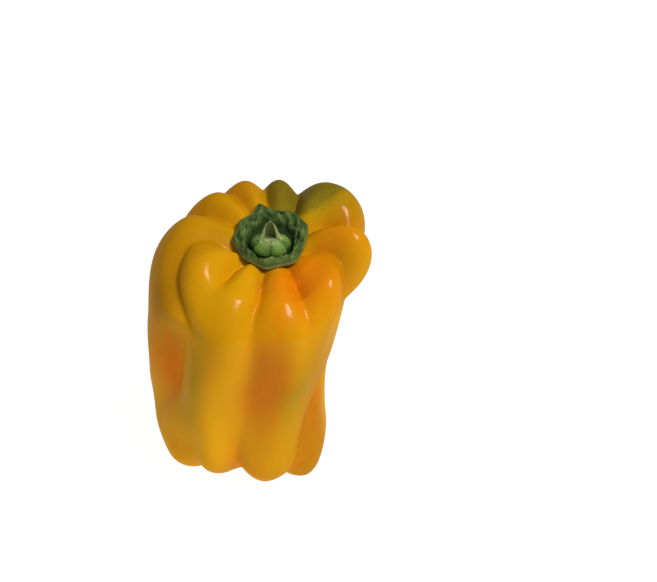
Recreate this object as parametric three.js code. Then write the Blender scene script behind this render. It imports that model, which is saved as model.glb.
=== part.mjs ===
import * as THREE from 'three';

// Blocky yellow bell pepper standing on its blossom end.
// Millimetres, +Z up, front towards -Y. Angles are degrees counter-clockwise from +X seen from above.
// A station runs from 0 (centre of the crown) over the shoulder (4) and flank (7) to the foot (10)
// and into the hollow of the blossom end (12).

const FRUIT_COLUMNS = 96;
const FRUIT_STEP = 0.25;
const CALYX_COLUMNS = 56;
const STUB_COLUMNS = 36;

const LAST_STATION = 12;
const FOOT_FLAT = 0.8;

// Radius and height of the ungrooved fruit at stations 0, 1, 2 ... 12.
const PROFILE = [
  [0, 97.9],
  [8.6, 97.8],
  [14.5, 100.4],
  [22, 103],
  [33.5, 101.7],
  [43, 87.5],
  [43, 65],
  [39.5, 45],
  [38, 25],
  [35.5, 9],
  [25, 0],
  [12, 5.5],
  [0, 9],
];

// [station, value] rows: sideways lean, lean in depth, and forward slope of the crown.
const LEAN_X = [[0, 5.5], [4, 4], [7, -6], [10, -4], [12, -4]];
const LEAN_Y = [[0, -0.2], [4, 0.4], [7, -0.6], [12, -0.6]];
const CROWN_SLOPE = [[0, 0.22], [4, 0.22], [7.5, 0], [12, 0]];

// [station, value] rows: reach of a groove to each side in millimetres, and how rounded its floor is.
const GROOVE_WIDTH = [[1, 3.5], [2, 5], [3, 8.5], [4, 12], [5, 13.5], [8, 12], [10, 10], [12, 5]];
const GROOVE_SOFTNESS = [[0, 0.1], [3, 0.08], [4.5, 0.12], [6, 0.35], [8, 0.3], [10, 0.15], [12, 0.15]];
const GROOVE_POWER = 2.2;

// Each groove: its line as [station, angle] rows, its depth as [station, millimetres] rows, its breadth.
const GROOVES = [
  {
    line: [[1, 203], [2, 195], [3, 185], [3.6, 188], [4.3, 202], [4.8, 221], [5.3, 236]],
    depth: [[1, 1], [2, 2.8], [3, 2.6], [3.6, 2.6], [4.2, 3.4], [4.8, 3.6], [5.5, 0]],
    breadth: 1,
  },
  {
    line: [[1, 228], [2, 224], [3, 227], [4, 232]],
    depth: [[1, 1], [2, 3.5], [3, 5], [3.9, 1.6], [4.5, 0]],
    breadth: 0.85,
  },
  {
    line: [
      [1, 260], [2, 260], [3, 262], [4.3, 263], [5.8, 269],
      [7.1, 270], [8.2, 265], [9, 262], [10, 262],
    ],
    depth: [
      [1, 1], [2, 3], [3, 5], [4, 6.5], [5, 5.2], [6, 4.6],
      [7, 5], [8.3, 6], [9.6, 6.2], [11, 2.6], [12, 0],
    ],
    breadth: 1,
  },
  {
    line: [[1, 301], [2, 298], [3, 297], [4.3, 298], [5, 299]],
    depth: [[1, 1], [2, 3.4], [3, 5.2], [4, 4.4], [5, 1.6], [6, 0]],
    breadth: 0.9,
  },
  {
    line: [[1, 332], [2, 339], [3, 341], [4, 336], [4.6, 332], [5.5, 328]],
    depth: [[1, 1], [2, 3], [3, 5], [4, 7], [4.7, 6.6], [5.6, 0]],
    breadth: 0.95,
  },
  {
    line: [[1, 12], [2, 19], [2.8, 17], [3.4, 11], [4, 8], [4.6, 8], [5.2, 8]],
    depth: [[1, 1], [2, 3], [3, 5.5], [4, 6], [5, 4], [6, 0]],
    breadth: 0.9,
  },
  {
    line: [[1, 56], [2, 60], [3.6, 67], [5, 70], [7, 64], [10, 62]],
    depth: [[1, 1], [2, 3], [3, 5.5], [4, 6], [5, 5], [6.5, 3.5], [8, 4.5], [9.6, 6], [11, 3], [12, 0]],
    breadth: 1,
  },
  {
    line: [[1, 97], [2, 97], [3.7, 95], [5, 95]],
    depth: [[1, 1], [2, 3], [3, 5], [4, 5], [5, 3], [6, 0]],
    breadth: 0.85,
  },
  {
    line: [[1, 124], [2, 121], [3.3, 121], [5, 124], [7, 124], [8.5, 118], [10, 118]],
    depth: [[1, 1], [2, 3], [3, 4], [4, 4], [5, 3], [7, 2.2], [8.5, 3], [9.6, 5], [11, 3], [12, 0]],
    breadth: 0.9,
  },
  {
    line: [[1, 156], [2, 150], [3, 149], [4, 149], [5, 151], [7, 161], [9, 171], [10, 174]],
    depth: [[1, 1], [2, 3], [3, 5.5], [4, 7], [5, 5], [6.5, 3], [8, 3], [9.6, 5], [11, 3], [12, 0]],
    breadth: 1,
  },
  {
    line: [[4.7, 228], [5.7, 221], [6.9, 215], [8, 200]],
    depth: [[4.7, 0], [5.7, 6], [6.9, 7], [7.6, 4.5], [8.5, 0]],
    breadth: 1.1,
  },
  {
    line: [[7.4, 242], [8.3, 234], [10, 230]],
    depth: [[7.2, 0], [8.2, 2.2], [9.5, 4.5], [11, 2.5], [12, 0]],
    breadth: 0.9,
  },
  {
    line: [[6.6, 352], [7.4, 330], [8, 318], [9.4, 302], [10, 300]],
    depth: [[6.6, 0], [7.4, 3], [8, 3], [9.4, 4], [11, 2.4], [12, 0]],
    breadth: 0.9,
  },
  {
    line: [[6, 20], [8, 14], [10, 12]],
    depth: [[6, 0], [7.5, 3], [9.5, 5.5], [11, 3], [12, 0]],
    breadth: 1,
  },
];

// Broad swellings: [angle, station, half width in degrees, half length in stations, height in millimetres].
const SWELLINGS = [
  [351, 4.2, 20, 1, 6],
  [345, 5.5, 30, 0.8, -9],
  [350, 7.4, 44, 1.7, -6],
  [2, 9.2, 24, 0.9, -2],
  [185, 5.9, 34, 1.3, -2.5],
  [32, 4.3, 22, 1, 5],
  [36, 2.8, 20, 0.9, 2.4],
  [350, 3.2, 18, 0.9, 2.6],
  [257, 3.7, 7, 0.9, 1.2],
  [320, 4.3, 14, 0.8, 1.5],
  [211, 3.6, 13, 1, 2.4],
  [182, 4, 22, 1, 2.2],
  [143, 4.1, 16, 1, 0.6],
  [95, 4.8, 50, 1.1, -2],
  [275, 3.7, 50, 1.3, -3.5],
  [224, 6.5, 14, 1.3, -2.5],
  [246, 6.5, 10, 1.7, 2],
  [279, 6.6, 9, 1.9, -2.5],
  [298, 6.6, 11, 1.9, 1.2],
  [222, 9.3, 16, 0.9, 2.5],
  [245, 9.6, 20, 0.8, -1.5],
  [283, 9.8, 16, 0.8, 0.3],
  [315, 9.6, 18, 1, 4.2],
];

// Calyx: station its rim reaches, the tips of its teeth [angle, extra stations, half width in degrees],
// and its section as [share of the reach, thickness above the underside].
const CALYX_GAP = 0.35;
const CALYX_REACH = 1.9;
const CALYX_TIPS = [
  [108, 0.42, 9],
  [55, 0.14, 14],
  [19, 0.2, 14],
  [308, 0.3, 12],
  [263, 0.22, 13],
  [223, 0.12, 12],
  [188, 0.18, 13],
  [148, 0.14, 12],
];
const CALYX_BLUNTNESS = 1.4;
const CALYX_TOP = [
  [0.15, 0.9],
  [0.3, 0.9],
  [0.42, 0.9],
  [0.47, 1.1],
  [0.5, 2.2],
  [0.56, 3.3],
  [0.67, 3.6],
  [0.8, 3.2],
  [0.92, 2.2],
  [1, 0.8],
  [0.985, 0.2],
  [0.9, 0],
  [0.65, 0],
  [0.35, 0],
  [0.15, 0],
];
const CALYX_OFFSET = 0.24;
const CALYX_RUFFLE = 0.5;

// Stem stub: stands forward of the centre on the calyx floor and leans with the crown. Its section is
// [radius, height, share of the upright torn strip].
const STUB_LIFT = 1.6;
const STUB_FORWARD = 3.7;
const STUB_SQUASH = 0.8;
const STUB_TILT = 12.4;
const STUB_RIBS = 5;
const STUB_RIB_PHASE = 52;
const STUB_RIB_DEPTH = 1.3;
const STUB_SECTION = [
  [2, 5.6, 0],
  [2.6, 5.6, 0.9],
  [2.85, 5.6, 1],
  [3.3, 5.6, 1],
  [3.6, 5.6, 0.85],
  [4.3, 5.8, 0],
  [5, 5.6, 0],
  [6, 5, 0],
  [6.9, 4.1, 0],
  [7.5, 3, 0],
  [7.7, 2, 0],
  [7.3, 0.8, 0],
  [6.6, 0.1, 0],
  [5.5, 0, 0],
  [2.5, 0, 0],
];
const STRIP_HEIGHT = 8;
const STRIP_CENTRE = 92;
const STRIP_TAPER = 0.5;
const STRIP_HALF_ANGLE = 105;

const DEG = Math.PI / 180;

// Cubic through [x, value] rows, level at both ends.
function track(rows, x) {
  const last = rows.length - 1;
  let i = 0;
  while (i < last - 1 && x >= rows[i + 1][0]) {
    i += 1;
  }
  const chord = (a, b) => (b[1] - a[1]) / (b[0] - a[0]);
  const slope = (k) => (k <= 0 || k >= last ? 0 : chord(rows[k - 1], rows[k + 1]));
  const span = rows[i + 1][0] - rows[i][0];
  const f = Math.min(Math.max((x - rows[i][0]) / span, 0), 1);
  const g = 1 - f;
  const ends = rows[i][1] * (1 + 2 * f) * g * g + rows[i + 1][1] * f * f * (3 - 2 * f);
  return ends + span * f * g * (slope(i) * g - slope(i + 1) * f);
}

// Uniform Catmull-Rom value of one profile column at a station.
function profileValue(column, station) {
  const i = Math.min(Math.floor(station), LAST_STATION - 1);
  const f = station - i;
  const row = (k) => {
    if (k < 0) {
      return 2 * PROFILE[0][column] - PROFILE[1][column];
    }
    if (k > LAST_STATION) {
      return 2 * PROFILE[LAST_STATION][column] - PROFILE[LAST_STATION - 1][column];
    }
    return PROFILE[k][column];
  };
  const [a, b, c, d] = [row(i - 1), row(i), row(i + 1), row(i + 2)];
  const linear = (c - a) * f;
  const square = (2 * a - 5 * b + 4 * c - d) * f * f;
  const cube = (3 * b - a - 3 * c + d) * f * f * f;
  return 0.5 * (2 * b + linear + square + cube);
}

// Signed difference of two angles in degrees, within -180 to 180.
function turn(angle, from) {
  return ((((angle - from + 180) % 360) + 360) % 360) - 180;
}

// Sum of the grooves at an angle and station: each is depth * (1 - distance / width) ^ power.
function grooveDepth(angle, station, radius) {
  let total = 0;
  for (const { line, depth, breadth } of GROOVES) {
    const inside = station >= depth[0][0] && station <= depth[depth.length - 1][0];
    const here = inside ? Math.max(track(depth, station), 0) : 0;
    const away = turn(angle, track(line, station)) * DEG * Math.max(radius, 5);
    const share = away / (track(GROOVE_WIDTH, station) * breadth);
    const soft = track(GROOVE_SOFTNESS, station);
    const reach = Math.sqrt(share * share + soft * soft) - soft;
    total += here * Math.max(1 - reach, 0) ** GROOVE_POWER;
  }
  return total;
}

// Sum of the broad swellings, each a bell curve around its angle and station.
function swellingHeight(angle, station) {
  let total = 0;
  for (const [centre, middle, halfWidth, halfLength, height] of SWELLINGS) {
    const across = turn(angle, centre) / halfWidth;
    const along = (station - middle) / halfLength;
    total += height * Math.exp(-across * across - along * along);
  }
  return total;
}

// Point of the skin: profile moved outward along its normal by swellings less grooves, then leaned.
function skinPoint(angle, station, grooveShare) {
  const radius = profileValue(0, station);
  const height = profileValue(1, station);
  const before = Math.max(station - 0.01, 0);
  const after = Math.min(station + 0.01, LAST_STATION);
  const runOut = profileValue(0, after) - profileValue(0, before);
  const runUp = profileValue(1, after) - profileValue(1, before);
  const length = Math.hypot(runOut, runUp);
  const fade = Math.min(radius / 8, 1);
  const lift = fade * (swellingHeight(angle, station) - grooveShare * grooveDepth(angle, station, radius));
  const r = radius - (runUp / length) * lift;
  const x = track(LEAN_X, station) + r * Math.cos(angle * DEG);
  const y = track(LEAN_Y, station) + r * Math.sin(angle * DEG);
  const z = height + (runOut / length) * lift + track(CROWN_SLOPE, station) * (y - LEAN_Y[0][1]);
  return new THREE.Vector3(x, y, z);
}

// Closed surface: top pole, rings of columns running down and round, bottom pole.
function closedShell(top, rings, bottom, columns) {
  const points = [top, ...rings.flat(), bottom];
  const index = [];
  const at = (ring, column) => 1 + ring * columns + (column % columns);
  for (let column = 0; column < columns; column += 1) {
    index.push(0, at(0, column), at(0, column + 1));
    for (let ring = 0; ring < rings.length - 1; ring += 1) {
      const [a, b] = [at(ring, column), at(ring + 1, column)];
      const [c, d] = [at(ring + 1, column + 1), at(ring, column + 1)];
      index.push(a, b, c, a, c, d);
    }
    index.push(points.length - 1, at(rings.length - 1, column + 1), at(rings.length - 1, column));
  }
  const geometry = new THREE.BufferGeometry();
  const coordinates = points.flatMap((p) => [p.x, p.y, p.z]);
  geometry.setAttribute('position', new THREE.Float32BufferAttribute(coordinates, 3));
  geometry.setIndex(index);
  geometry.computeVertexNormals();
  return geometry;
}

// One ring of points at even angles.
function ringOf(columns, pointAt) {
  return Array.from({ length: columns }, (_, column) => pointAt((360 * column) / columns));
}

function fruitGeometry() {
  const place = (angle, station) => {
    const p = skinPoint(angle, station, 1);
    p.z = Math.max(p.z - FOOT_FLAT, 0);
    return p;
  };
  const rings = [];
  for (let station = 2 * FRUIT_STEP; station < LAST_STATION - FRUIT_STEP; station += FRUIT_STEP) {
    rings.push(ringOf(FRUIT_COLUMNS, (angle) => place(angle, station)));
  }
  return closedShell(place(0, 0), rings, place(0, LAST_STATION), FRUIT_COLUMNS);
}

// Station of the calyx rim at an angle: a plain reach with a pointed tooth at each tip.
function calyxReach(angle) {
  let reach = CALYX_REACH;
  for (const [tip, extra, halfWidth] of CALYX_TIPS) {
    reach += extra * Math.exp(-((Math.abs(turn(angle, tip)) / halfWidth) ** CALYX_BLUNTNESS));
  }
  return reach;
}

// Uneven ruffle of the fleshy calyx band, strongest where the band is thickest.
function calyxRuffle(angle, share) {
  const waves = Math.sin(7 * angle * DEG + 9 * share) + 0.6 * Math.sin(12 * angle * DEG - 14 * share);
  return CALYX_RUFFLE * waves;
}

function calyxGeometry() {
  const place = (angle, share, thickness) => {
    const frontal = (0.5 - 0.5 * Math.sin(angle * DEG)) ** 3;
    const shifted = share + 4 * CALYX_OFFSET * share * (1 - share) * frontal;
    const p = skinPoint(angle, shifted * calyxReach(angle), 0);
    const ruffle = Math.max(thickness - 1.2, 0) * 0.5 * calyxRuffle(angle, share);
    p.z += CALYX_GAP + thickness + ruffle - FOOT_FLAT;
    return p;
  };
  const ring = ([share, thickness]) => ringOf(CALYX_COLUMNS, (angle) => place(angle, share, thickness));
  const rings = CALYX_TOP.map(ring);
  return closedShell(place(0, 0, CALYX_TOP[0][1]), rings, place(0, 0, 0), CALYX_COLUMNS);
}

// Height share of the torn strip round the stub: a pointed arch standing over the back half.
function stripShare(angle) {
  const across = Math.min(Math.abs(turn(angle, STRIP_CENTRE)) / STRIP_HALF_ANGLE, 1);
  return (1 - across ** 3) ** 0.8;
}

function stubGeometry() {
  const place = (angle, radius, height, strip) => {
    const rib = Math.abs(Math.sin((STUB_RIBS / 2) * (angle - STUB_RIB_PHASE) * DEG));
    const flesh = Math.min(Math.max((radius - 2.6) / 3.4, 0), 1);
    const standing = strip * stripShare(angle);
    const r = radius * (1 - STRIP_TAPER * standing) - STUB_RIB_DEPTH * flesh * (1 - rib) ** 2;
    const z = height + STRIP_HEIGHT * standing;
    return new THREE.Vector3(r * Math.cos(angle * DEG), STUB_SQUASH * r * Math.sin(angle * DEG), z);
  };
  const ring = ([r, z, strip]) => ringOf(STUB_COLUMNS, (angle) => place(angle, r, z, strip));
  const rings = STUB_SECTION.map(ring);
  const top = new THREE.Vector3(0, 0, STUB_SECTION[0][1]);
  const geometry = closedShell(top, rings, new THREE.Vector3(0, 0, 0), STUB_COLUMNS);
  geometry.translate(0, -STUB_FORWARD, 0);
  geometry.rotateX(STUB_TILT * DEG);
  geometry.translate(LEAN_X[0][1], LEAN_Y[0][1], PROFILE[0][1] + STUB_LIFT - FOOT_FLAT);
  return geometry;
}

function namedMesh(name, geometry, color, roughness) {
  const mesh = new THREE.Mesh(geometry, new THREE.MeshStandardMaterial({ color, roughness, metalness: 0 }));
  mesh.name = name;
  return mesh;
}

const group = new THREE.Group();
group.name = 'bell_pepper';
group.add(namedMesh('fruit', fruitGeometry(), 0xd99a08, 0.28));
group.add(namedMesh('calyx', calyxGeometry(), 0x3d6a35, 0.6));
group.add(namedMesh('stem_stub', stubGeometry(), 0x7f9a4a, 0.65));

export default group;
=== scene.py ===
import bpy
import numpy as np
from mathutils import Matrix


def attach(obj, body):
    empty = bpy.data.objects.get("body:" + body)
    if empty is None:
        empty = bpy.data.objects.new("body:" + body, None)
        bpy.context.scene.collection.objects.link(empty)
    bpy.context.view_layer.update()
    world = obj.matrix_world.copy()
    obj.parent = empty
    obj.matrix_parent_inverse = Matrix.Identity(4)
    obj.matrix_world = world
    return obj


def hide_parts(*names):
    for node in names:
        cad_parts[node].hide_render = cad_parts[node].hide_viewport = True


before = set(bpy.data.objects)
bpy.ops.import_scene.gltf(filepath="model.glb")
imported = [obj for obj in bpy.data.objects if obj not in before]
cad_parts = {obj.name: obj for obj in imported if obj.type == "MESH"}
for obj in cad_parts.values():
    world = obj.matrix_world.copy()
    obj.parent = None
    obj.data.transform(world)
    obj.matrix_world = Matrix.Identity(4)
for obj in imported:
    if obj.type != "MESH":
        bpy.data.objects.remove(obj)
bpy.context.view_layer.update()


# The fruit: one hollow, thick-walled berry with a waxy skin, grown as a ring of swollen lobes.
# Folds run from the crown over the shoulder; a few carry on down the flank and part the feet
# that it stands on.

MM = 0.001

# Sizes are millimetres, and angles are degrees counter-clockwise from +X. A station runs from
# the crown's centre (0) over the shoulder (4) to the foot (10) and the blossom scar (12).
# Radius and height of the plain fruit at stations 0, 1, 2 ... 12.
fruit_profile = np.array([
    (0, 97.9), (8.6, 97.8), (14.5, 100.4), (22, 103), (33.5, 101.7), (43, 87.5), (43, 65),
    (39.5, 45), (38, 25), (35.5, 9), (25, 0), (12, 5.5), (0, 9),
], dtype=float)
last_station = len(fruit_profile) - 1

# (station, value) rows.
lean_x = [(0, 5.5), (4, 4), (7, -6), (10, -4), (12, -4)]
lean_y = [(0, -0.2), (4, 0.4), (7, -0.6), (12, -0.6)]
crown_slope = [(0, 0.22), (4, 0.22), (7.5, 0), (12, 0)]
groove_width = [(1, 3.5), (2, 5), (3, 8.5), (4, 12), (5, 13.5), (8, 12), (10, 10), (12, 5)]
groove_softness = [(0, 0.1), (3, 0.08), (4.5, 0.12), (6, 0.35), (8, 0.3), (10, 0.15), (12, 0.15)]
groove_power = 2.2
foot_flat = 0.8

# Each fold: its line as (station, angle) rows, its depth as (station, depth) rows, its breadth.
grooves = [
    ([(1, 203), (2, 195), (3, 185), (3.6, 188), (4.3, 202), (4.8, 221), (5.3, 236)],
     [(1, 1), (2, 2.8), (3, 2.6), (3.6, 2.6), (4.2, 3.4), (4.8, 3.6), (5.5, 0)], 1.0),
    ([(1, 228), (2, 224), (3, 227), (4, 232)],
     [(1, 1), (2, 3.5), (3, 5), (3.9, 1.6), (4.5, 0)], 0.85),
    ([(1, 260), (2, 260), (3, 262), (4.3, 263), (5.8, 269), (7.1, 270), (8.2, 265), (9, 262), (10, 262)],
     [(1, 1), (2, 3), (3, 5), (4, 6.5), (5, 5.2), (6, 4.6), (7, 5), (8.3, 6), (9.6, 6.2), (11, 2.6),
      (12, 0)], 1.0),
    ([(1, 301), (2, 298), (3, 297), (4.3, 298), (5, 299)],
     [(1, 1), (2, 3.4), (3, 5.2), (4, 4.4), (5, 1.6), (6, 0)], 0.9),
    ([(1, 332), (2, 339), (3, 341), (4, 336), (4.6, 332), (5.5, 328)],
     [(1, 1), (2, 3), (3, 5), (4, 7), (4.7, 6.6), (5.6, 0)], 0.95),
    ([(1, 12), (2, 19), (2.8, 17), (3.4, 11), (4, 8), (4.6, 8), (5.2, 8)],
     [(1, 1), (2, 3), (3, 5.5), (4, 6), (5, 4), (6, 0)], 0.9),
    ([(1, 56), (2, 60), (3.6, 67), (5, 70), (7, 64), (10, 62)],
     [(1, 1), (2, 3), (3, 5.5), (4, 6), (5, 5), (6.5, 3.5), (8, 4.5), (9.6, 6), (11, 3), (12, 0)], 1.0),
    ([(1, 97), (2, 97), (3.7, 95), (5, 95)],
     [(1, 1), (2, 3), (3, 5), (4, 5), (5, 3), (6, 0)], 0.85),
    ([(1, 124), (2, 121), (3.3, 121), (5, 124), (7, 124), (8.5, 118), (10, 118)],
     [(1, 1), (2, 3), (3, 4), (4, 4), (5, 3), (7, 2.2), (8.5, 3), (9.6, 5), (11, 3), (12, 0)], 0.9),
    ([(1, 156), (2, 150), (3, 149), (4, 149), (5, 151), (7, 161), (9, 171), (10, 174)],
     [(1, 1), (2, 3), (3, 5.5), (4, 7), (5, 5), (6.5, 3), (8, 3), (9.6, 5), (11, 3), (12, 0)], 1.0),
    ([(4.7, 228), (5.7, 221), (6.9, 215), (8, 200)],
     [(4.7, 0), (5.7, 6), (6.9, 7), (7.6, 4.5), (8.5, 0)], 1.1),
    ([(7.4, 242), (8.3, 234), (10, 230)],
     [(7.2, 0), (8.2, 2.2), (9.5, 4.5), (11, 2.5), (12, 0)], 0.9),
    ([(6.6, 352), (7.4, 330), (8, 318), (9.4, 302), (10, 300)],
     [(6.6, 0), (7.4, 3), (8, 3), (9.4, 4), (11, 2.4), (12, 0)], 0.9),
    ([(6, 20), (8, 14), (10, 12)],
     [(6, 0), (7.5, 3), (9.5, 5.5), (11, 3), (12, 0)], 1.0),
]

# Broad swellings and hollows: angle, station, half width, half length in stations, height.
swellings = [
    (351, 4.2, 20, 1.0, 6), (345, 5.5, 30, 0.8, -9), (350, 7.4, 44, 1.7, -6), (2, 9.2, 24, 0.9, -2),
    (185, 5.9, 34, 1.3, -2.5), (32, 4.3, 22, 1, 5), (36, 2.8, 20, 0.9, 2.4), (350, 3.2, 18, 0.9, 2.6),
    (257, 3.7, 7, 0.9, 1.2), (320, 4.3, 14, 0.8, 1.5), (211, 3.6, 13, 1, 2.4), (182, 4, 22, 1, 2.2),
    (143, 4.1, 16, 1, 0.6), (95, 4.8, 50, 1.1, -2), (275, 3.7, 50, 1.3, -3.5), (224, 6.5, 14, 1.3, -2.5),
    (246, 6.5, 10, 1.7, 2), (279, 6.6, 9, 1.9, -2.5), (298, 6.6, 11, 1.9, 1.2), (222, 9.3, 16, 0.9, 2.5),
    (245, 9.6, 20, 0.8, -1.5), (283, 9.8, 16, 0.8, 0.3), (315, 9.6, 18, 1, 4.2),
]


def track(rows, x):
    """Cubic Hermite curve through (x, value) rows; the slope at a row is that of the chord
    between its neighbours, and 0 at both ends."""
    at, value = np.array(rows, dtype=float).T
    slope = np.zeros_like(value)
    slope[1:-1] = (value[2:] - value[:-2]) / (at[2:] - at[:-2])
    i = np.clip(np.searchsorted(at, x, side="right") - 1, 0, len(at) - 2)
    span = at[i + 1] - at[i]
    f = np.clip((x - at[i]) / span, 0, 1)
    g = 1 - f
    ends = value[i] * (1 + 2 * f) * g * g + value[i + 1] * f * f * (3 - 2 * f)
    return ends + span * f * g * (slope[i] * g - slope[i + 1] * f)


def plain_profile(station):
    """Uniform Catmull-Rom curve through the profile's rows, mirrored past both ends."""
    rows = np.vstack([2 * fruit_profile[0] - fruit_profile[1], fruit_profile,
                      2 * fruit_profile[-1] - fruit_profile[-2]])
    i = np.clip(np.floor(station).astype(int), 0, last_station - 1)
    f = (station - i)[..., None]
    a, b, c, d = rows[i], rows[i + 1], rows[i + 2], rows[i + 3]
    return 0.5 * (2 * b + (c - a) * f + (2 * a - 5 * b + 4 * c - d) * f ** 2
                  + (3 * b - a - 3 * c + d) * f ** 3)


def turn(angle, centre):
    """Signed difference of two angles, within -180 to 180 degrees."""
    return (angle - centre + 180) % 360 - 180


def fold_depth(angle, station, radius):
    """Sum over the folds of depth * (1 - distance / width) ^ power, with the distance measured
    round the fruit and rounded off near the fold's floor by its softness."""
    total = np.zeros_like(radius)
    for line, depth, breadth in grooves:
        here = np.where((station >= depth[0][0]) & (station <= depth[-1][0]), track(depth, station), 0)
        away = np.radians(turn(angle, track(line, station))) * np.maximum(radius, 5)
        share = away / (track(groove_width, station) * breadth)
        soft = track(groove_softness, station)
        reach = np.sqrt(share ** 2 + soft ** 2) - soft
        total += np.maximum(here, 0) * np.maximum(1 - reach, 0) ** groove_power
    return total


def patches(rows, angle, station):
    """Sum of bell curves, each height * exp(-across^2 - along^2) round its angle and station."""
    total = np.zeros(np.broadcast(angle, station).shape)
    for centre, middle, half_width, half_length, height in rows:
        across, along = turn(angle, centre) / half_width, (station - middle) / half_length
        total += height * np.exp(-across ** 2 - along ** 2)
    return total


def skin(angle, station, folded=1.0):
    """Point of the skin in millimetres: the profile moved along its outward normal by the
    swellings less the folds, then leaned sideways and the crown tipped forward."""
    radius, height = np.moveaxis(plain_profile(station), -1, 0)
    step = (plain_profile(np.minimum(station + 0.01, last_station))
            - plain_profile(np.maximum(station - 0.01, 0)))
    out, up = np.moveaxis(step / np.linalg.norm(step, axis=-1, keepdims=True), -1, 0)
    lift = np.minimum(radius / 8, 1) * (patches(swellings, angle, station)
                                        - folded * fold_depth(angle, station, radius))
    r = radius - up * lift
    x = track(lean_x, station) + r * np.cos(np.radians(angle))
    y = track(lean_y, station) + r * np.sin(np.radians(angle))
    z = height + out * lift + track(crown_slope, station) * (y - lean_y[0][1])
    return np.stack([x, y, z], axis=-1)


def closed_surface(name, points, marks):
    """Mesh object from a grid of points, rows running from the top pole down and columns
    counter-clockwise. The first and last rows shrink to one vertex each. marks is a dict of
    per-vertex values on the same grid, kept as attributes."""
    rows, columns = points.shape[:2]

    def kept(grid):
        inner = grid[1:-1].reshape((-1,) + grid.shape[2:])
        return np.concatenate([grid[0, :1], inner, grid[-1, :1]])

    vertices = kept(points) * MM
    ring = np.arange(columns)
    after = (ring + 1) % columns
    row = 1 + np.arange(rows - 3)[:, None] * columns
    quads = np.stack([row + ring, row + columns + ring, row + columns + after, row + after], axis=-1)
    foot = 1 + (rows - 3) * columns
    top = np.stack([0 * ring, 1 + ring, 1 + after], axis=-1)
    bottom = np.stack([0 * ring + len(vertices) - 1, foot + after, foot + ring], axis=-1)
    mesh = bpy.data.meshes.new(name)
    mesh.from_pydata(vertices, [], quads.reshape(-1, 4).tolist() + top.tolist() + bottom.tolist())
    mesh.shade_smooth()
    for mark, values in marks.items():
        kept_marks = mesh.attributes.new(mark, "FLOAT", "POINT")
        kept_marks.data.foreach_set("value", kept(values).astype(np.float32))
    piece = bpy.data.objects.new(name, mesh)
    bpy.context.scene.collection.objects.link(piece)
    return piece


class Value:
    """A node's output that can be used in arithmetic; each operation adds a Math node."""

    def __init__(self, finish, socket):
        self.finish, self.socket = finish, socket

    def maths(self, operation, a, b=0.0):
        return self.finish.node("Math", {"operation": operation}, {0: a, 1: b})

    def __add__(self, other):
        return self.maths("ADD", self, other)

    def __radd__(self, other):
        return self.maths("ADD", other, self)

    def __sub__(self, other):
        return self.maths("SUBTRACT", self, other)

    def __rsub__(self, other):
        return self.maths("SUBTRACT", other, self)

    def __mul__(self, other):
        return self.maths("MULTIPLY", self, other)

    def __rmul__(self, other):
        return self.maths("MULTIPLY", other, self)

    def between(self, low, high):
        """Smooth step from 0 at low to 1 at high."""
        return self.finish.node("MapRange", {"interpolation_type": "SMOOTHSTEP"},
                                {"Value": self, "From Min": low, "From Max": high})


class Finish:
    """A material in the making."""

    def __init__(self, name):
        self.material = bpy.data.materials.new(name)
        self.material.use_nodes = True
        self.tree = self.material.node_tree
        self.tree.nodes.clear()

    def node(self, kind, settings=None, inputs=None, output=0):
        """Adds one node: its settings first, then the values or links of its sockets."""
        made = self.tree.nodes.new("ShaderNode" + kind)
        for setting, value in (settings or {}).items():
            if setting == "stops":
                while len(made.color_ramp.elements) < len(value):
                    made.color_ramp.elements.new(0.5)
                for element, (place, colour) in zip(made.color_ramp.elements, value):
                    element.position, element.color = place, colour + (1,)
            else:
                setattr(made, setting, value)
        for socket, value in (inputs or {}).items():
            if isinstance(value, Value):
                self.tree.links.new(value.socket, made.inputs[socket])
            else:
                made.inputs[socket].default_value = value
        return Value(self, made.outputs[output]) if made.outputs else None

    def mark(self, name):
        return self.node("Attribute", {"attribute_name": name}, output="Fac")

    def place(self, scale=(1, 1, 1)):
        coordinates = self.node("TexCoord", output="Object")
        return self.node("Mapping", {}, {"Vector": coordinates, "Scale": scale})

    def noise(self, vector, scale, detail=2.0, roughness=0.5, distortion=0.0):
        return self.node("TexNoise", {}, {"Vector": vector, "Scale": scale, "Detail": detail,
                                          "Roughness": roughness, "Distortion": distortion}, output="Fac")

    def blend(self, factor, a, b, way="MIX"):
        return self.node("Mix", {"data_type": "RGBA", "blend_type": way, "clamp_factor": True},
                         {0: factor, 6: a, 7: b}, output=2)

    def surface(self, shader):
        self.node("OutputMaterial", {}, {"Surface": shader})
        return self.material


fruit_columns, fruit_rows = 384, 240

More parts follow.
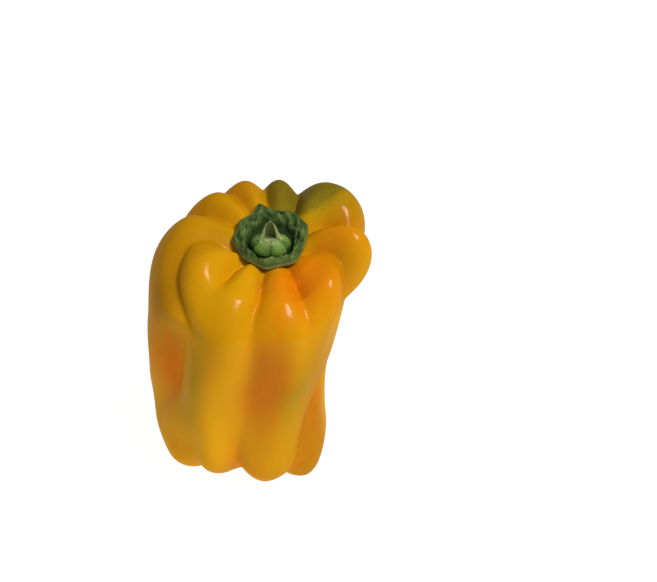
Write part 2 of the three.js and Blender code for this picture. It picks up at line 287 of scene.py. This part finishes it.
# Where the skin is still green or ripened to orange, and where painted shade darkens it (a
# negative strength paints light): angle, station, half width, half length in stations, strength.
green_patches = [
    (54, 3.2, 21, 1.8, 1.3), (34, 3.3, 23, 1.4, 0.65), (83, 3.1, 14, 1.9, 1.4), (243, 6, 9, 1.3, 0.5),
    (233, 7, 8, 1.0, 0.25), (301, 6.7, 8, 1.3, 0.55), (225, 3.2, 10, 0.8, 0.2),
    (135, 6.5, 12, 1.6, 0.4), (60, 7, 14, 1.6, 0.3), (190, 7.4, 10, 1.4, 0.2),
]
ripe_and_shadow_patches = [
    (352, 3.2, 24, 1.5, 0.45), (314, 3.0, 20, 1.7, 0.85), (284, 2.9, 15, 1.8, 0.7),
    (283, 6.2, 12, 1.7, 0.75), (336, 3.9, 9, 0.8, -0.4), (287, 5, 7, 0.7, -0.25),
    # The row at 335 degrees, station 8 paints in orange the shadow cast on the low right flank.
    (264, 2.4, 8, 0.8, 0.4), (314, 8.8, 12, 1, 0.3), (335, 8, 12, 1.5, 0.4),
    (112, 3.5, 13, 1.3, 0.3), (140, 2.8, 12, 0.9, 0.15), (200, 3.2, 9, 1, 0.25),
    (275, 9, 30, 0.9, 0.3), (222, 8.4, 9, 0.9, 0.3), (208, 6.5, 17, 1.0, 0.65),
    (100, 7, 20, 1.6, 0.5), (160, 7.5, 14, 1.5, 0.5), (325, 7, 16, 1.5, 0.3),
]
painted_shade_patches = [
    (140, 4, 50, 1.6, 0.4), (52, 3.4, 32, 1.5, 0.42), (33, 2.8, 12, 0.8, -0.3), (18, 4, 14, 0.9, 0.45),
    (86, 3.6, 15, 1.4, 0.17), (192, 4.8, 24, 2.4, 0.38), (210, 4.9, 14, 0.9, 0.45),
    (238, 6.8, 13, 1.6, 0.36), (250, 5.3, 9, 0.8, 0.38), (252, 4.4, 16, 0.8, 0.12),
    (275, 5.6, 6, 0.9, 0.35), (293, 6.5, 7, 0.9, 0.4), (276, 6.8, 14, 1.8, 0.15),
    (308, 6, 9, 1, 0.2), (318, 7.5, 20, 2.6, 0.34), (333, 8, 12, 2, 0.25),
    (350, 3.8, 20, 1, 0.15), (114, 3.2, 12, 1, 0.2), (336, 3.9, 10, 0.8, 0.4),
    (314, 8.8, 12, 0.9, 0.2), (286, 5.3, 6, 0.8, 0.3), (262, 2.5, 8, 0.7, 0.35),
    (178, 2.4, 20, 0.7, 0.2), (252, 8, 11, 1, -0.25), (276, 3.6, 9, 0.6, -0.25),
    (310, 3.1, 9, 0.7, -0.15),
]

deepest_fold = 7
angle, station = np.meshgrid(np.arange(fruit_columns) * 360 / fruit_columns,
                             np.linspace(0, last_station, fruit_rows))
fruit_points = skin(angle, station)
fruit_points[..., 2] = np.maximum(fruit_points[..., 2] - foot_flat, 0)
fruit = closed_surface("fruit_skin", fruit_points, {
    "fold": fold_depth(angle, station, plain_profile(station)[..., 0]) / deepest_fold,
    "green": patches(green_patches, angle, station),
    "ripe": patches(ripe_and_shadow_patches, angle, station),
    "dull": patches(painted_shade_patches, angle, station),
    "round_x": np.cos(np.radians(angle)),
    "round_y": np.sin(np.radians(angle)),
    "along": station * 0.12,
})
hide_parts("fruit")
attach(fruit, "root")

yellow = (0.7, 0.325, 0.001, 1)
orange = (0.75, 0.195, 0.001, 1)
lime = (0.48, 0.305, 0.002, 1)
leaf_green = (0.135, 0.135, 0.008, 1)
golden = (0.8, 0.42, 0.002, 1)
painted_shade_colour = (0.5, 0.46, 0.9, 1)
pale_speck = (0.95, 0.6, 0.02, 1)

# Streaks follow the way the fruit grew: round it by the unit circle, and slowly along it. The body
# is nearly matt, and a thin share of a warm mirror over it gives the wax its few sharp glints.
waxy_skin = Finish("waxy_pepper_skin")
spot = waxy_skin.place()
grown = waxy_skin.node("CombineXYZ", {}, {
    "X": waxy_skin.mark("round_x"), "Y": waxy_skin.mark("round_y"), "Z": waxy_skin.mark("along"),
})
streak = waxy_skin.noise(grown, 7, 4, 0.55, 0.3)
fine_streak = waxy_skin.noise(grown, 26, 3, 0.6)
mottle = waxy_skin.noise(spot, 85, 3, 0.5)
fold = waxy_skin.mark("fold")
# Deeper folds are pushed towards orange here and away from green in the green share below: painted crease
# shade.
ripeness_and_crease_shade = (waxy_skin.mark("ripe") + 0.35 * fold + 0.5 * (streak - 0.5)
            + 0.35 * (mottle - 0.5)).between(0.1, 0.95)
greenness = (waxy_skin.mark("green") + 0.7 * (streak - 0.5) + 0.3 * (fine_streak - 0.5)
             - 0.25 * fold).between(0.12, 0.75)
deep_greenness = (waxy_skin.mark("green") + 0.6 * (streak - 0.5)
                  + 0.3 * (mottle - 0.5)).between(0.6, 1.05)
colour = waxy_skin.blend(ripeness_and_crease_shade, yellow, orange)
colour = waxy_skin.blend(greenness * 0.75, colour, lime)
colour = waxy_skin.blend(deep_greenness * 0.8, colour, leaf_green)
colour = waxy_skin.blend(0.2 * (fine_streak - 0.35) + 0.1 * mottle, colour, golden)
# Multiplying by the painted shade colour darkens the skin a little everywhere, and more under the painted
# shade patches.
colour = waxy_skin.blend(waxy_skin.mark("dull") + 0.2, colour, painted_shade_colour, "MULTIPLY")
speck = waxy_skin.node("TexVoronoi", {"feature": "F1"}, {"Vector": spot, "Scale": 900},
                       output="Distance")
colour = waxy_skin.blend(0.1 * (1 - speck.between(0.05, 0.3)), colour, pale_speck)
dimple = waxy_skin.noise(spot, 1100, 2, 0.5)
swell = waxy_skin.noise(spot, 210, 2, 0.45)
relief = waxy_skin.node("Bump", {}, {
    "Strength": 0.35, "Distance": 0.0004, "Height": swell + 0.05 * dimple,
}, output="Normal")
waxy_body = waxy_skin.node("BsdfPrincipled", {}, {
    "Base Color": colour,
    "Roughness": 0.5,
    "Normal": relief,
    "Specular IOR Level": 0.01,
    "Subsurface Weight": 0.1,
    "Subsurface Radius": (1.0, 0.4, 0.05),
    "Subsurface Scale": 0.004,
})
waxy_gloss = waxy_skin.node("BsdfPrincipled", {}, {
    "Base Color": (1, 0.66, 0.56, 1),
    "Metallic": 1.0,
    "Roughness": 0.12 + 0.06 * mottle + 0.05 * fine_streak,
    "Normal": relief,
})
waxy_shader = waxy_skin.node("MixShader", {}, {0: 0.011, 1: waxy_body, 2: waxy_gloss})
fruit.data.materials.append(waxy_skin.surface(waxy_shader))


# The calyx: a thick green cap of fused sepals that sits on the crown and grips the ends of the
# lobes. Its band is ruffled and curls down to a toothed rim, with a gutter round the stem that
# is darkened with painted shade.

calyx_columns, calyx_rows = 360, 150
calyx_gap = 0.35
# The rim's reach in stations, and its teeth: angle, extra reach, half width.
calyx_reach = 1.9
calyx_tips = [(108, 0.42, 9), (55, 0.14, 14), (19, 0.2, 14), (308, 0.3, 12), (263, 0.22, 13),
              (223, 0.12, 12), (188, 0.18, 13), (148, 0.14, 12)]
calyx_bluntness = 1.4
# Section of the cap: share of the reach, thickness above the underside.
calyx_section = [
    (0, 0.9), (0.15, 0.9), (0.3, 0.9), (0.42, 0.9), (0.47, 1.1), (0.5, 2.2), (0.56, 3.3),
    (0.67, 3.6), (0.8, 3.2), (0.92, 2.2), (1, 0.8), (0.985, 0.2), (0.9, 0), (0.65, 0),
    (0.35, 0), (0.15, 0), (0, 0),
]
calyx_floor_thickness = 1.2
calyx_offset = 0.24
calyx_ruffle = 0.5


def crinkle(x, y):
    """Uneven waves: the sum of five products of two sines, each sine bent by a slower one, and
    each product finer and weaker than the one before."""
    waves = [(7, 4.9, 0.3), (12, 8.3, 1.1), (17, 13.1, 2.4), (23, 19.3, 0.7), (34, 27.9, 1.8)]
    return sum(np.sin(a * x + 2.1 * np.sin(b * y + c))
               * np.sin(b * 2.3 * y + a * 0.5 * np.sin(2 * x + c)) / (1 + 0.7 * i)
               for i, (a, b, c) in enumerate(waves))


angle, place = np.meshgrid(np.arange(calyx_columns) * 360 / calyx_columns,
                           np.linspace(0, len(calyx_section) - 1, calyx_rows))
share = track([(i, row[0]) for i, row in enumerate(calyx_section)], place)
thickness = track([(i, row[1]) for i, row in enumerate(calyx_section)], place)
reach = calyx_reach + sum(extra * np.exp(-(np.abs(turn(angle, tip)) / half) ** calyx_bluntness)
                          for tip, extra, half in calyx_tips)
turns = np.radians(angle)
ruffle = calyx_ruffle * (np.sin(7 * turns + 9 * share) + 0.6 * np.sin(12 * turns - 14 * share))
fleshy = np.maximum(thickness - calyx_floor_thickness, 0)
raised = fleshy * (0.5 * ruffle + 0.3 * crinkle(turns, 1.1 * share))
jagged = np.exp(-((share - 0.52) / 0.07) ** 2) * np.where(thickness > 1, 1, 0)
frontal = (0.5 - 0.5 * np.sin(turns)) ** 3
shifted = share + 4 * calyx_offset * share * (1 - share) * frontal + 0.018 * jagged * crinkle(turns, 0.4)
calyx_points = skin(angle, np.maximum(shifted * reach, 0), 0.0)
calyx_points[..., 2] += calyx_gap + thickness + raised - foot_flat
calyx = closed_surface("calyx_cap", calyx_points, {
    "share": share * np.ones_like(angle),
    "raised": raised,
})
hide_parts("calyx")
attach(calyx, "root")

# Smooth parts are darker and the thin rim paler; ridges are paler as painted highlight, and
# hollows darker and the gutter darkest as painted shade.
shade_green = (0.035, 0.07, 0.012, 1)
sepal_green = (0.075, 0.125, 0.018, 1)
vein_and_lit_ridge_green = (0.13, 0.18, 0.04, 1)
hollow_shade_green = (0.02, 0.045, 0.008, 1)
rim_green = (0.19, 0.19, 0.05, 1)
gutter_shade_green = (0.008, 0.022, 0.002, 1)

fleshy_green = Finish("fleshy_calyx_green")
spot = fleshy_green.place()
vein = fleshy_green.noise(spot, 620, 4, 0.6, 0.8)
blotch = fleshy_green.noise(spot, 170, 3, 0.5)
ridge = fleshy_green.mark("raised").between(0.1, 0.9)
hollow = 1 - fleshy_green.mark("raised").between(-0.9, -0.1)
thin_rim = fleshy_green.mark("share").between(0.94, 1.0)
gutter = 1 - fleshy_green.mark("share").between(0.46, 0.58)
colour = fleshy_green.blend(blotch.between(0.35, 0.65), shade_green, sepal_green)
colour = fleshy_green.blend(0.6 * vein.between(0.48, 0.66), colour, vein_and_lit_ridge_green)
colour = fleshy_green.blend(0.75 * ridge, colour, vein_and_lit_ridge_green)
colour = fleshy_green.blend(0.8 * hollow, colour, hollow_shade_green)
colour = fleshy_green.blend(0.7 * thin_rim, colour, rim_green)
colour = fleshy_green.blend((0.72 + 0.25 * blotch) * gutter, colour, gutter_shade_green)
relief = fleshy_green.node("Bump", {}, {
    "Strength": 0.6, "Distance": 0.0005, "Height": vein + 0.4 * blotch,
}, output="Normal")
fleshy_shader = fleshy_green.node("BsdfPrincipled", {}, {
    "Base Color": colour,
    "Roughness": 0.42 + 0.2 * vein + 0.3 * gutter,
    "Normal": relief,
    "IOR": 1.3,
    "Subsurface Weight": 0.08,
    "Subsurface Radius": (0.3, 0.6, 0.1),
    "Subsurface Scale": 0.002,
})
calyx.data.materials.append(fleshy_green.surface(fleshy_shader))


# The stem stub: the fibrous stalk snapped off short. Its ribbed foot grows from the cap's floor,
# the top is a pale torn face, and one strip of the stalk's wall still stands up in an arch.

stub_columns, stub_rows = 256, 170
stub_lift = 1.6
stub_forward = 3.7
stub_squash = 0.8
stub_tilt = 12.4
stub_ribs, stub_rib_phase, stub_rib_depth = 5, 52, 1.3
# Section of the stub: radius, height, share of the torn strip's height.
stub_section = [
    (0, 5.6, 0), (2, 5.6, 0), (2.6, 5.6, 0.9), (2.85, 5.6, 1), (3.3, 5.6, 1), (3.6, 5.6, 0.85),
    (4.3, 5.8, 0), (5, 5.6, 0), (6, 5, 0), (6.9, 4.1, 0), (7.5, 3, 0), (7.7, 2, 0),
    (7.3, 0.8, 0), (6.6, 0.1, 0), (5.5, 0, 0), (2.5, 0, 0), (0, 0, 0),
]
torn_rows = 6.3
pith_radius = 2.9
strip_height, strip_centre, strip_half_angle, strip_taper = 8, 92, 105, 0.5

angle, place = np.meshgrid(np.arange(stub_columns) * 360 / stub_columns,
                           np.linspace(0, len(stub_section) - 1, stub_rows))
radius, height, strip = (track([(i, row[k]) for i, row in enumerate(stub_section)], place)
                         for k in range(3))
turns = np.radians(angle)
across = np.clip(np.abs(turn(angle, strip_centre)) / strip_half_angle, 0, 1)
standing = np.clip(strip, 0, 1) * (1 - across ** 3) ** 0.8
rib = np.abs(np.sin(stub_ribs / 2 * np.radians(angle - stub_rib_phase)))
flesh = np.clip((radius - 2.6) / 3.4, 0, 1)
r = radius * (1 - strip_taper * standing) - stub_rib_depth * flesh * (1 - rib) ** 2
torn = np.clip(1 - (place - torn_rows - 0.35 * crinkle(turns, 0.8)) / 0.9, 0, 1)
shreds = 0.22 * torn * crinkle(turns, radius * 0.35) * np.clip(radius / 2, 0, 1)
z = height + strip_height * standing + shreds
local = np.stack([r * np.cos(turns), stub_squash * r * np.sin(turns), z], axis=-1)
lean = np.radians(stub_tilt)
stub_points = np.stack([
    local[..., 0] + lean_x[0][1],
    (local[..., 1] - stub_forward) * np.cos(lean) - local[..., 2] * np.sin(lean) + lean_y[0][1],
    (local[..., 1] - stub_forward) * np.sin(lean) + local[..., 2] * np.cos(lean)
    + fruit_profile[0][1] + stub_lift - foot_flat,
], axis=-1)
stub = closed_surface("stem_stub_torn", stub_points, {
    "torn": torn,
    "rib": rib,
    "inside": np.clip((pith_radius - radius) / 0.3, 0, 1) * np.where(place < 6, 1, 0) * (1 - across ** 2),
})
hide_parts("stem_stub")
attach(stub, "root")

furrow_green = (0.055, 0.12, 0.012, 1)
rind_green = (0.12, 0.22, 0.025, 1)
rib_green = (0.15, 0.27, 0.03, 1)
wet_flesh = (0.17, 0.24, 0.06, 1)
dry_flesh = (0.36, 0.42, 0.16, 1)
pith_shade = (0.05, 0.065, 0.008, 1)

stalk = Finish("fibrous_stalk")
fibre = stalk.noise(stalk.place((1, 1, 0.15)), 1500, 3, 0.6)
grain = stalk.noise(stalk.place(), 900, 3, 0.6)
rind = stalk.blend(fibre.between(0.35, 0.7), furrow_green, rind_green)
rind = stalk.blend(0.7 * stalk.mark("rib").between(0.3, 1.0), rind, rib_green)
flesh_colour = stalk.blend(grain.between(0.4, 0.6), wet_flesh, dry_flesh)
colour = stalk.blend(stalk.mark("torn").between(0.35, 0.75), rind, flesh_colour)
# The middle of the pith and the inner face of the standing strip are darkened: painted shade.
colour = stalk.blend(0.9 * stalk.mark("inside").between(0.1, 0.6), colour, pith_shade)
relief = stalk.node("Bump", {}, {
    "Strength": 0.7, "Distance": 0.0004, "Height": fibre + 0.6 * grain,
}, output="Normal")
stalk_shader = stalk.node("BsdfPrincipled", {}, {
    "Base Color": colour,
    "Roughness": 0.5 + 0.25 * grain,
    "Normal": relief,
})
stub.data.materials.append(stalk.surface(stalk_shader))


# The table top: a plain matt white sheet that the pepper stands on. It glows a little short of
# white, which keeps it even from edge to edge.

bpy.ops.mesh.primitive_plane_add(size=6)
table_top = bpy.context.object
table_top.name = "table_top"

white_sheet = Finish("white_sheet")
white_shader = white_sheet.node("BsdfPrincipled", {}, {
    "Base Color": (0.2, 0.2, 0.2, 1),
    "Roughness": 0.9,
    "Specular IOR Level": 0.1,
    "Emission Color": (1, 1, 1, 1),
    "Emission Strength": 0.94,
})
table_top.data.materials.append(white_sheet.surface(white_shader))


# The studio: a dim white room all round, and one square soft box that hangs high on the right and
# towards the front, turned to the pepper.

world = bpy.data.worlds.new("white_room")
world.use_nodes = True
room_light = world.node_tree.nodes["Background"].inputs
room_light["Color"].default_value = (1, 1, 1, 1)
room_light["Strength"].default_value = 0.35
bpy.context.scene.world = world

# Degrees round to the right and up, then metres.
softbox_round, softbox_up, softbox_away, softbox_side = 50, 54, 1.25, 0.29
softbox_target_height = 0.07
softbox_radiance = 46
softbox = bpy.data.lights.new("softbox", "AREA")
softbox.shape = "SQUARE"
softbox.size = softbox_side
softbox.energy = np.pi * softbox_side ** 2 * softbox_radiance
softbox_object = bpy.data.objects.new("softbox", softbox)
bpy.context.scene.collection.objects.link(softbox_object)
sideways, upwards = np.radians(softbox_round), np.radians(softbox_up)
softbox_object.location = (softbox_away * np.cos(upwards) * np.sin(sideways),
                           -softbox_away * np.cos(upwards) * np.cos(sideways),
                           softbox_target_height + softbox_away * np.sin(upwards))
softbox_object.rotation_euler = (np.pi / 2 - upwards, 0, sideways)


# The camera: looks down at the pepper from the front with a long lens, which leaves the pepper
# left of the middle of the frame.

camera = bpy.data.cameras.new("camera")
camera.lens = 98.63
camera.sensor_width = 36
camera.clip_end = 20
camera_object = bpy.data.objects.new("camera", camera)
bpy.context.scene.collection.objects.link(camera_object)
camera_object.location = (0.0276, -0.5707, 0.4897)
camera_object.rotation_euler = (np.radians(54), 0, 0)
bpy.context.scene.camera = camera_object
bpy.context.scene.view_settings.view_transform = "Standard"
